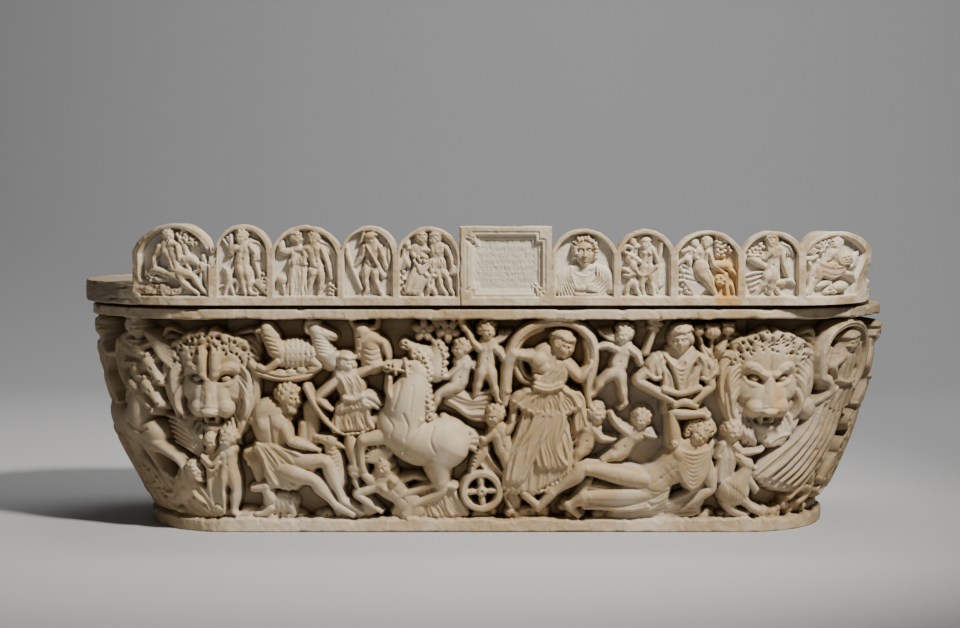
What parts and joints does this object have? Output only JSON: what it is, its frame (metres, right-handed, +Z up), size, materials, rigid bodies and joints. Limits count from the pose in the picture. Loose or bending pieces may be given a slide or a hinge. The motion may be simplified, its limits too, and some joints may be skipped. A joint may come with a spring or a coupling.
{
  "type": "stone sarcophagus",
  "caption": "Marble tub sarcophagus with rounded ends, a high-relief frieze between lion masks, and a loose slab lid with an arched, panelled front edge.",
  "frame": {"origin": "centre of the trough's flat underside, on the floor", "axes": "+X along the length towards the right end as one faces the carved front, -Y out of the carved front, +Z up"},
  "size_m": [1.9221, 0.724, 0.7141],
  "materials": {
    "trough_stone": "carved marble with a brown patina",
    "lid_stone": "carved marble with a tan patina"
  },
  "bodies": {
    "root": {"trough": "trough_stone", "lid": "lid_stone"}
  },
  "joints": []
}
